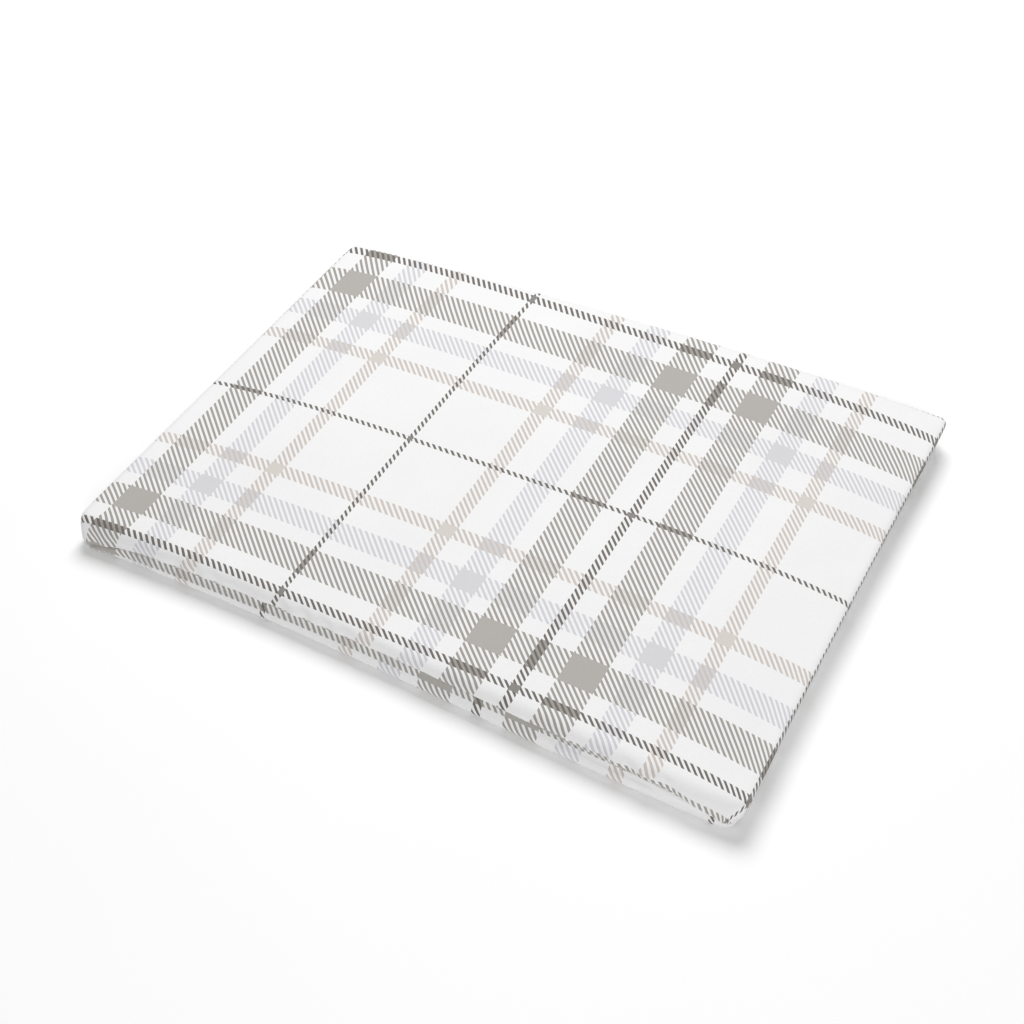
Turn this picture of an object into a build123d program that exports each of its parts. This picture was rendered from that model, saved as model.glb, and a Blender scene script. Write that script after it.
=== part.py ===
"""Pet cushion bed: a foam insert in a zipped fabric cover.

Millimetres, +Z up. The origin is the middle of the underside, X runs along the length
and +Y points to the back. The zip is in the end wall at -X. The layers, from outside in,
are the cover, a sewn inner case, a wrap of batting and a foam slab. Depths are measured
inwards from the outside of the cover.
"""

import os

from build123d import *

# Overall sizes of the filled cover
LENGTH = 1016.0
WIDTH = 762.0
HEIGHT = 58.0
CORNER_RADIUS = 30.0
TOP_ROLL = 20.0
BOTTOM_ROLL = 14.0

# Fabrics and filling
COVER_FABRIC = 0.8
CASE_FABRIC = 0.5
BATTING = 8.0
THREAD = 0.3
SEAM_ALLOWANCE = 10.0
SEAM_GAP = 0.4

# Room between one layer and the next
SIDE_ROOM = 5.5
FACE_ROOM = 0.4
LAYER_CLEARANCE = 0.3
FOLD_GAP = 0.8
PLY_GAP = 0.2
SMALLEST_ROLL = 2.0

# Zip in the end wall
ZIP_CORNER_DISTANCE = 76.0
ZIP_SLOT_HEIGHT = 10.4
COIL_GAP = 1.0
COIL_HEIGHT = 2.5
COIL_THICKNESS = 2.0
COIL_DEPTH = 0.3
TAPE_WIDTH = 11.0
TAPE_THICKNESS = 0.6
TAPE_TAIL = 15.0
STITCH_MARGIN = 2.3
BARTACK_WIDTH = 2.0
BARTACK_REACH = 1.8
BARTACK_THICKNESS = 0.8

# Slider and pull tab
SLIDER_LENGTH = 11.0
SLIDER_HEIGHT = 9.0
SLIDER_NOSE = 5.2
PLATE = 1.2
CHANNEL_CLEARANCE = 0.2
LIP = 1.1
LIP_LENGTH = 7.0
POST_LENGTH = 2.5
SLIDER_END_GAP = 0.5
BRIDGE_LENGTH = 7.8
BRIDGE_THICKNESS = 1.2
BRIDGE_WIDTH = 1.6
PIN_RADIUS = 0.6
PIN_CLEARANCE = 0.4
PULL_LENGTH = 24.0
PULL_WIDTH = 6.0
EYE_CLEARANCE = 0.6
PULL_HOLE_LENGTH = 7.0
PULL_HOLE_WIDTH = 2.6

# Blank care label in the back seam, near the zip's end
LABEL_WIDTH = 38.0
LABEL_DROP = 22.0
LABEL_THICKNESS = 0.3
LABEL_CORNER_DISTANCE = 120.0
LABEL_STAND_OFF = 0.3

end = LENGTH / 2
back = WIDTH / 2
tape_reach = COIL_GAP / 2 + TAPE_WIDTH
seam_height = BOTTOM_ROLL + tape_reach + SEAM_GAP
top_roll = min(TOP_ROLL, HEIGHT - seam_height - tape_reach - SEAM_GAP)
zip_opening = WIDTH - 2 * ZIP_CORNER_DISTANCE
zip_half = zip_opening / 2
tape_half = zip_half + TAPE_TAIL
slot_half = ZIP_SLOT_HEIGHT / 2

# Depths of the layers behind the side walls, and below the top and bottom faces
lower_ply_depth = COVER_FABRIC + FOLD_GAP
upper_ply_depth = lower_ply_depth + COVER_FABRIC + PLY_GAP
case_side = COVER_FABRIC + SIDE_ROOM
case_face = COVER_FABRIC + FACE_ROOM
batting_side = case_side + CASE_FABRIC + LAYER_CLEARANCE
batting_face = case_face + CASE_FABRIC + LAYER_CLEARANCE
foam_side = batting_side + BATTING + LAYER_CLEARANCE
foam_face = batting_face + BATTING + LAYER_CLEARANCE

# Depths of the zip's layers
tape_depth = COIL_DEPTH + COIL_THICKNESS
outer_plate_depth = COIL_DEPTH - CHANNEL_CLEARANCE
inner_plate_depth = tape_depth + TAPE_THICKNESS + CHANNEL_CLEARANCE
plate_stand = PLATE - outer_plate_depth
pin_stand = plate_stand + PIN_CLEARANCE + PIN_RADIUS
slider_y = -(zip_half - BARTACK_WIDTH - SLIDER_END_GAP - SLIDER_LENGTH / 2)

os.makedirs("parts", exist_ok=True)


def save(piece, name):
    """Labels a finished piece and writes it under its own name."""
    piece.part.label = name
    export_step(piece.part, f"parts/{name}.step")


def end_plane(depth, y=0.0, height=seam_height):
    """Upright plane in the end wall, at a depth behind its outer face, facing outwards."""
    return Plane(origin=(depth - end, y, height), x_dir=(0, -1, 0), z_dir=(-1, 0, 0))


def loop(outer_depth, inner_depth):
    """Draws the level band between two depths behind the side walls."""
    outer_radius = max(CORNER_RADIUS - outer_depth, SMALLEST_ROLL)
    inner_radius = max(CORNER_RADIUS - inner_depth, SMALLEST_ROLL)
    RectangleRounded(LENGTH - 2 * outer_depth, WIDTH - 2 * outer_depth, outer_radius)
    RectangleRounded(
        LENGTH - 2 * inner_depth, WIDTH - 2 * inner_depth, inner_radius, mode=Mode.SUBTRACT
    )


def cushion_form(side, face):
    """Closed cushion shape, set in from the cover's outside by side and by face."""
    upper = max(top_roll - face, SMALLEST_ROLL)
    lower = max(BOTTOM_ROLL - face, SMALLEST_ROLL)
    corner = max(CORNER_RADIUS - side, upper + 1, lower + 1)
    with BuildPart() as form:
        with BuildSketch(Plane.XY.offset(face)):
            RectangleRounded(LENGTH - 2 * side, WIDTH - 2 * side, corner)
        extrude(amount=HEIGHT - 2 * face)
        fillet(form.faces().sort_by(Axis.Z)[-1].edges(), upper)
        fillet(form.faces().sort_by(Axis.Z)[0].edges(), lower)
    return form.part


def layer_half(side, face, thickness, plane, keep):
    """Upper or lower half of a layer of even thickness."""
    outside = cushion_form(side, face)
    inside = cushion_form(side + thickness, face + thickness)
    with BuildPart() as layer:
        add(outside)
        add(inside, mode=Mode.SUBTRACT)
        split(bisect_by=plane, keep=keep)
    return layer.part


# The cover's two panels are sewn right sides together round the side wall. Both raw
# edges are turned down inside it, and they stop short of the zip.
upper_edge = Plane.XY.offset(seam_height + SEAM_GAP / 2)
lower_edge = Plane.XY.offset(seam_height - SEAM_GAP / 2)
allowance_foot = seam_height - SEAM_ALLOWANCE
zip_clear_height = 2 * tape_reach + 2 * SEAM_GAP


# What the zip takes away: its slot in the end wall, and the turned edges behind it
with BuildPart() as zip_cutter:
    with BuildSketch(end_plane(-COVER_FABRIC)):
        Rectangle(zip_opening, ZIP_SLOT_HEIGHT)
    extrude(amount=-3 * COVER_FABRIC)
    with BuildSketch(end_plane(COVER_FABRIC)):
        Rectangle(2 * tape_half + 2, zip_clear_height)
    extrude(amount=-(SIDE_ROOM - FOLD_GAP))

upper_shell = layer_half(0, 0, COVER_FABRIC, upper_edge, Keep.TOP)
with BuildPart() as cover_top_panel:
    add(upper_shell)
    with BuildSketch(upper_edge):
        loop(0, upper_ply_depth + COVER_FABRIC)
    extrude(amount=COVER_FABRIC)
    with BuildSketch(Plane.XY.offset(allowance_foot)):
        loop(upper_ply_depth, upper_ply_depth + COVER_FABRIC)
    extrude(amount=SEAM_ALLOWANCE + SEAM_GAP / 2 + COVER_FABRIC)
    add(zip_cutter.part, mode=Mode.SUBTRACT)
save(cover_top_panel, "cover_top_panel")

lower_shell = layer_half(0, 0, COVER_FABRIC, lower_edge, Keep.BOTTOM)
with BuildPart() as cover_bottom_panel:
    add(lower_shell)
    with BuildSketch(lower_edge):
        loop(0, lower_ply_depth + COVER_FABRIC)
    extrude(amount=-COVER_FABRIC)
    with BuildSketch(Plane.XY.offset(allowance_foot)):
        loop(lower_ply_depth, lower_ply_depth + COVER_FABRIC)
    extrude(amount=SEAM_ALLOWANCE - SEAM_GAP / 2)
    add(zip_cutter.part, mode=Mode.SUBTRACT)
save(cover_bottom_panel, "cover_bottom_panel")

# Lockstitch row through both turned edges, just below the fold
stitch_depth = upper_ply_depth + COVER_FABRIC
with BuildPart() as cover_seam_stitching:
    with BuildSketch(Plane.XY.offset(seam_height - 2)):
        loop(stitch_depth, stitch_depth + THREAD)
    extrude(amount=THREAD * 2)
    add(zip_cutter.part, mode=Mode.SUBTRACT)
save(cover_seam_stitching, "cover_seam_stitching")

# Overlock thread wrapped over the raw ends of the two turned edges
overlock_out = lower_ply_depth - THREAD - PLY_GAP / 2
overlock_in = stitch_depth + PLY_GAP / 2 + THREAD
with BuildPart() as cover_seam_overlock:
    with BuildSketch(Plane.XY.offset(allowance_foot - PLY_GAP - THREAD)):
        loop(overlock_out, overlock_in)
    extrude(amount=SEAM_ALLOWANCE / 2)
    with BuildSketch(Plane.XY.offset(allowance_foot - PLY_GAP)):
        loop(overlock_out + THREAD, overlock_in - THREAD)
    extrude(amount=SEAM_ALLOWANCE, mode=Mode.SUBTRACT)
    add(zip_cutter.part, mode=Mode.SUBTRACT)
save(cover_seam_overlock, "cover_seam_overlock")

# Sewn inner case that holds the filling when the cover comes off for washing
case_seam = Plane.XY.offset(HEIGHT / 2)
case_upper_half = layer_half(case_side, case_face, CASE_FABRIC, case_seam, Keep.TOP)
with BuildPart() as inner_case_top:
    add(case_upper_half)
save(inner_case_top, "inner_case_top")

case_lower_half = layer_half(case_side, case_face, CASE_FABRIC, case_seam, Keep.BOTTOM)
with BuildPart() as inner_case_bottom:
    add(case_lower_half)
save(inner_case_bottom, "inner_case_bottom")

with BuildPart() as inner_case_seam_stitching:
    with BuildSketch(case_seam):
        loop(case_side - LAYER_CLEARANCE - THREAD, case_side - LAYER_CLEARANCE)
    extrude(amount=THREAD, both=True)
save(inner_case_seam_stitching, "inner_case_seam_stitching")

# Polyester batting wrapped round the slab in two sheets
batting_upper_half = layer_half(batting_side, batting_face, BATTING, case_seam, Keep.TOP)
with BuildPart() as batting_top:
    add(batting_upper_half)
save(batting_top, "batting_top")

batting_lower_half = layer_half(batting_side, batting_face, BATTING, case_seam, Keep.BOTTOM)
with BuildPart() as batting_bottom:
    add(batting_lower_half)
save(batting_bottom, "batting_bottom")

slab = cushion_form(foam_side, foam_face)
with BuildPart() as foam_core:
    add(slab)
save(foam_core, "foam_core")


# Zip: two tapes sewn behind the slot's edges, a coil along each, and a bar tack
# across each end of the slot
def zip_strip(depth, thickness, near, height, length):
    """Straight strip along the zip, near to near + height away from its middle line."""
    middle = seam_height + near + height / 2
    with BuildPart() as strip:
        with BuildSketch(end_plane(depth, height=middle)):
            Rectangle(length, height)
        extrude(amount=-thickness)
    return strip


def lower_strip(strip):
    """The same strip below the zip's middle line."""
    with BuildPart() as twin:
        add(mirror(strip.part, about=Plane.XY.offset(seam_height)))
    return twin


zipper_tape_upper = zip_strip(tape_depth, TAPE_THICKNESS, COIL_GAP / 2, TAPE_WIDTH, 2 * tape_half)
zipper_tape_lower = lower_strip(zipper_tape_upper)
save(zipper_tape_upper, "zipper_tape_upper")
save(zipper_tape_lower, "zipper_tape_lower")

zipper_coil_upper = zip_strip(
    COIL_DEPTH, COIL_THICKNESS, COIL_GAP / 2, COIL_HEIGHT, zip_opening - SEAM_GAP
)
zipper_coil_lower = lower_strip(zipper_coil_upper)
save(zipper_coil_upper, "zipper_coil_upper")
save(zipper_coil_lower, "zipper_coil_lower")

stitch_row = slot_half + STITCH_MARGIN
zipper_topstitch_upper = zip_strip(-THREAD, THREAD, stitch_row, 2 * THREAD, 2 * tape_half)
zipper_topstitch_lower = lower_strip(zipper_topstitch_upper)
save(zipper_topstitch_upper, "zipper_topstitch_upper")
save(zipper_topstitch_lower, "zipper_topstitch_lower")

bartack_height = ZIP_SLOT_HEIGHT + 2 * BARTACK_REACH
with BuildPart() as zipper_bartacks:
    with BuildSketch(end_plane(0)):
        with Locations((-zip_half + BARTACK_WIDTH / 2, 0), (zip_half - BARTACK_WIDTH / 2, 0)):
            Rectangle(BARTACK_WIDTH, bartack_height)
    extrude(amount=BARTACK_THICKNESS)
save(zipper_bartacks, "zipper_bartacks")


# Slider: two plates joined by a post that runs between the coils, with side lips round
# the coils and a bridge that holds the pull. Its nose leads as the zip closes, towards -Y.
def slider_plate(depth):
    """One plate of the slider, its outer face at a depth."""
    half_length = SLIDER_LENGTH / 2
    half_height = SLIDER_HEIGHT / 2
    shoulder = half_length - (SLIDER_HEIGHT - SLIDER_NOSE) / 2
    with BuildPart() as plate:
        with BuildSketch(end_plane(depth, slider_y)) as outline:
            with BuildLine():
                Polyline(
                    (-half_length, -half_height),
                    (shoulder, -half_height),
                    (half_length, -SLIDER_NOSE / 2),
                    (half_length, SLIDER_NOSE / 2),
                    (shoulder, half_height),
                    (-half_length, half_height),
                    close=True,
                )
            make_face()
            fillet(outline.vertices(), PLATE)
        extrude(amount=-PLATE)
    return plate.part


outer_plate = slider_plate(outer_plate_depth - PLATE)
inner_plate = slider_plate(inner_plate_depth)
bridge_base = plate_stand - PLATE / 2
bridge_inside = pin_stand + PIN_RADIUS + PIN_CLEARANCE
bridge_top = bridge_inside + BRIDGE_THICKNESS
bridge_plane = Plane(origin=(-end, slider_y, seam_height), x_dir=(0, 1, 0), z_dir=(0, 0, 1))
lip_height = (SLIDER_HEIGHT - LIP) / 2
lip_depth = tape_depth - outer_plate_depth - CHANNEL_CLEARANCE
with BuildPart() as zipper_slider:
    add(outer_plate)
    add(inner_plate)
    with BuildSketch(end_plane(outer_plate_depth, slider_y)):
        with Locations((-PLATE / 2, lip_height), (-PLATE / 2, -lip_height)):
            Rectangle(LIP_LENGTH, LIP)
    extrude(amount=-lip_depth)
    with BuildSketch(end_plane(outer_plate_depth, slider_y)):
        with Locations((SLIDER_LENGTH / 2 - PLATE - POST_LENGTH / 2, 0)):
            Rectangle(POST_LENGTH, COIL_GAP - 2 * CHANNEL_CLEARANCE)
    extrude(amount=outer_plate_depth - inner_plate_depth)
    with BuildSketch(bridge_plane) as bridge:
        with Locations((0, (bridge_base + bridge_top) / 2)):
            Rectangle(BRIDGE_LENGTH, bridge_top - bridge_base)
        fillet(bridge.vertices().group_by(Axis.X)[0], BRIDGE_THICKNESS)
        with Locations((0, (bridge_base + bridge_inside) / 2)):
            Rectangle(
                BRIDGE_LENGTH - 2 * BRIDGE_THICKNESS,
                bridge_inside - bridge_base,
                mode=Mode.SUBTRACT,
            )
    extrude(amount=BRIDGE_WIDTH / 2, both=True)
    with BuildSketch(end_plane(outer_plate_depth - PLATE, slider_y)):
        Rectangle(BRIDGE_LENGTH, BRIDGE_WIDTH)
    extrude(amount=-PLATE)
save(zipper_slider, "zipper_slider")

# Pull: a flat tab whose cross pin sits under the bridge. At rest it lies back over the
# closed zip, towards +Y.
bridge_corner = (BRIDGE_LENGTH**2 / 4 + (bridge_top - pin_stand) ** 2) ** 0.5
eye_end = bridge_corner + PIN_CLEARANCE
eye_width = BRIDGE_WIDTH + 2 * EYE_CLEARANCE
eye_length = eye_end - PIN_RADIUS
pull_plane = Plane(
    origin=(PIN_RADIUS - pin_stand - end, slider_y, seam_height),
    x_dir=(0, 1, 0),
    z_dir=(-1, 0, 0),
)
with BuildPart() as zipper_pull:
    with BuildSketch(pull_plane) as tab:
        with Locations((PULL_LENGTH / 2, 0)):
            Rectangle(PULL_LENGTH, PULL_WIDTH)
        fillet(tab.vertices().group_by(Axis.Y)[-1], PULL_WIDTH / 2 - 0.5)
        with Locations((PIN_RADIUS + eye_length / 2, 0)):
            Rectangle(eye_length, eye_width, mode=Mode.SUBTRACT)
        with Locations((PULL_LENGTH - PULL_WIDTH / 2 - PULL_HOLE_LENGTH / 2, 0)):
            SlotOverall(PULL_HOLE_LENGTH, PULL_HOLE_WIDTH, mode=Mode.SUBTRACT)
    extrude(amount=2 * PIN_RADIUS)
    with BuildSketch(bridge_plane):
        with Locations((0, pin_stand)):
            Circle(PIN_RADIUS)
    extrude(amount=PULL_WIDTH / 2, both=True)
save(zipper_pull, "zipper_pull")

# Care label: its root is caught in the back seam, and the rest hangs down
label_x = LABEL_CORNER_DISTANCE - end
label_face = back + LABEL_STAND_OFF
label_root = back - lower_ply_depth
with BuildPart() as care_label:
    with BuildSketch(Plane.YZ.offset(label_x)) as label:
        with Locations(((label_root + label_face) / 2, seam_height)):
            Rectangle(label_face - label_root, LABEL_THICKNESS)
        with Locations((label_face + LABEL_THICKNESS / 2, seam_height + LABEL_THICKNESS / 2)):
            Rectangle(LABEL_THICKNESS, LABEL_DROP, align=(Align.CENTER, Align.MAX))
    extrude(amount=LABEL_WIDTH / 2, both=True)
save(care_label, "care_label")
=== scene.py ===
import math

import bmesh
import bpy
import numpy as np
from mathutils import Matrix, Vector


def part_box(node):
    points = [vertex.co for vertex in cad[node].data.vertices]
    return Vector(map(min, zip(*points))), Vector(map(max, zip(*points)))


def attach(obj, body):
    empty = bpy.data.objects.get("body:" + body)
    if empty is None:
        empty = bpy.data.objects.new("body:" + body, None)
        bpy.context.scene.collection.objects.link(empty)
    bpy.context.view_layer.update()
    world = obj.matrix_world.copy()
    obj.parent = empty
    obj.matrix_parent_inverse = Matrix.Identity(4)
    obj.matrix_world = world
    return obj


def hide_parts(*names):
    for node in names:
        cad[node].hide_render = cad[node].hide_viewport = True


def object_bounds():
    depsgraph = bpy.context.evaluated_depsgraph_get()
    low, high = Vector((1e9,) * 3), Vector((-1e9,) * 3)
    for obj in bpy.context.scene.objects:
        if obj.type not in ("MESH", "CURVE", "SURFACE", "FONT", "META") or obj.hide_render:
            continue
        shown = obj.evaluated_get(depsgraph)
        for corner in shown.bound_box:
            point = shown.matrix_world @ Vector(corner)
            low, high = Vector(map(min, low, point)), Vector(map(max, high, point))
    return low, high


# Pet cushion bed: a foam slab wrapped in batting, in a sewn inner case, in a zipped cotton
# cover with a plaid print. Metres, +Z up, the floor at z = 0, the zip in the end wall at -X.
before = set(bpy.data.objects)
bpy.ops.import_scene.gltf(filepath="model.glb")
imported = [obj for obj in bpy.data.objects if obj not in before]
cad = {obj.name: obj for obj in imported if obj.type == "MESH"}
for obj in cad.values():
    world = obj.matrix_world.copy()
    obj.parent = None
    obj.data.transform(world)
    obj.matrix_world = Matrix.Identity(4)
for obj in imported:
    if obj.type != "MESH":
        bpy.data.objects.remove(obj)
cad_low, cad_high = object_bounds()


# Studio: a pale seamless floor under an even white dome, with one broad soft light high
# behind the bed, a lower one in front, and the camera off the bed's front right corner.
def linear(hex_colour):
    """Linear RGBA of an sRGB hex colour."""
    parts = [int(hex_colour[k : k + 2], 16) / 255 for k in (1, 3, 5)]
    return [c / 12.92 if c <= 0.04045 else ((c + 0.055) / 1.055) ** 2.4 for c in parts] + [1.0]


def node(tree, kind, inputs=(), **settings):
    """Adds a node to a tree, with its settings, its input values and its links."""
    made = tree.nodes.new(kind)
    for key, value in settings.items():
        setattr(made, key, value)
    for key, value in dict(inputs).items():
        if isinstance(value, bpy.types.NodeSocket):
            tree.links.new(value, made.inputs[key])
        else:
            made.inputs[key].default_value = value
    return made


def new_finish(name):
    """An empty material that is built from nodes, and its node tree."""
    finish = bpy.data.materials.new(name)
    finish.use_nodes = True
    finish.node_tree.nodes.clear()
    return finish, finish.node_tree


scene = bpy.context.scene
scene.view_settings.view_transform = "Standard"

view_target = Vector((0.0403, -0.0924, cad_high.z - 0.001))
view_distance = 2.413
azimuth = math.radians(29.78)
elevation = math.radians(43.92)
roll = math.radians(-2.09)
forward = Vector((
    -math.sin(azimuth) * math.cos(elevation),
    math.cos(azimuth) * math.cos(elevation),
    -math.sin(elevation),
))
level_side = forward.cross(Vector((0, 0, 1))).normalized()
level_up = level_side.cross(forward)
camera_side = level_side * math.cos(roll) + level_up * math.sin(roll)
camera_up = level_up * math.cos(roll) - level_side * math.sin(roll)
camera = bpy.data.objects.new("camera", bpy.data.cameras.new("camera"))
camera.data.lens = 61.13
camera.data.sensor_width = 36
camera.matrix_world = Matrix.Translation(view_target - forward * view_distance) @ Matrix(
    (camera_side, camera_up, -forward)
).transposed().to_4x4()
scene.collection.objects.link(camera)
scene.camera = camera

world = bpy.data.worlds.new("studio_dome")
world.use_nodes = True
world.node_tree.nodes.clear()
dome = node(world.node_tree, "ShaderNodeBackground", {"Color": linear("#ffffff"), "Strength": 0.26})
node(world.node_tree, "ShaderNodeOutputWorld", {"Surface": dome.outputs["Background"]})
scene.world = world

for light_name, light_place, watts in (
    ("back_softbox", Vector((-0.8, 2.1, 3.7)), 148),
    ("front_softbox", Vector((2.1, -3.9, 3.0)), 112),
):
    softbox = bpy.data.objects.new(light_name, bpy.data.lights.new(light_name, "AREA"))
    softbox.data.shape = "DISK"
    softbox.data.size = 2.7
    softbox.data.energy = watts
    softbox.matrix_world = Matrix.Translation(light_place) @ (
        -light_place
    ).to_track_quat("-Z", "Y").to_matrix().to_4x4()
    scene.collection.objects.link(softbox)

floor_half = 4.0
floor_level = -0.0004
floor_mesh = bpy.data.meshes.new("studio_floor")
floor_mesh.from_pydata(
    [(x * floor_half, y * floor_half, floor_level) for x, y in ((-1, -1), (1, -1), (1, 1), (-1, 1))],
    [],
    [(0, 1, 2, 3)],
)
floor = bpy.data.objects.new("studio_floor", floor_mesh)
scene.collection.objects.link(floor)

# Matt vinyl backdrop: a faint mottle that only shows up close.
backdrop_vinyl, tree = new_finish("matt_white_vinyl")
place = node(tree, "ShaderNodeTexCoord")
mottle = node(tree, "ShaderNodeTexNoise", {"Vector": place.outputs["Object"], "Scale": 3.0})
tone = node(tree, "ShaderNodeMixRGB", {
    "Fac": mottle.outputs[0], "Color1": linear("#fafafa"), "Color2": linear("#fbfbfb"),
})
surface = node(tree, "ShaderNodeBsdfPrincipled", {"Base Color": tone.outputs[0], "Roughness": 0.9})
surface.inputs["Specular IOR Level"].default_value = 0.1
node(tree, "ShaderNodeOutputMaterial", {"Surface": surface.outputs[0]})
floor_mesh.materials.append(backdrop_vinyl)


# Foam slab: one block of polyurethane foam, cut with a hot wire and left open-celled.
# Its edges are softened where the batting pulls over them.
cover_low = Vector(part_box("cover_bottom_panel")[0])
cover_high = Vector(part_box("cover_top_panel")[1])
half_length = (cover_high.x - cover_low.x) / 2
half_width = (cover_high.y - cover_low.y) / 2
height = cover_high.z - cover_low.z
seam_height = (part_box("zipper_tape_upper")[0].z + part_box("zipper_tape_lower")[1].z) / 2
edge_drop = 0.0055
soft_roll = 2.3
firm_roll = 4.5
lean_from = 0.048
most_bow = 0.032
seam_fade = 0.0013
filling_step = 0.016


def bowed(x, y, z):
    """Where a point of the straight-sided form lies once the sewn sides have pulled in and out."""
    across, along = x / half_length, y / half_width
    below_seam = np.clip(1 - z / seam_height, 0, 1)
    belly = 0.010 * (1 - across**4) * np.sin(math.pi * below_seam)
    front = 0.001 + 0.0285 * across + 0.0150 * across**2 - 0.0099 * across**3
    back = 0.012 + 0.007 * across - 0.014 * across**2
    right = 0.010 + 0.0095 * ((1 - along) / 2) ** 3
    lean_slope = 0.58 - 0.28 * np.clip((1 - along) / 2, 0, 1) ** 8
    lean = lean_slope * np.clip(lean_from - z, 0, None) * ((1 + across) / 2) ** 8
    return np.column_stack([
        x + right * (1 + across) / 2 - lean,
        y - np.minimum(front + belly, most_bow) * (1 - along) / 2 + back * (1 + along) / 2,
        z + 0 * x,
    ])


def spread(stops, step):
    """Even steps of about one size from each stop to the next."""
    places = [stops[0]]
    for near, far in zip(stops, stops[1:]):
        count = max(1, round((far - near) / step))
        places += [near + (far - near) * k / count for k in range(1, count + 1)]
    return np.array(places)


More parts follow.
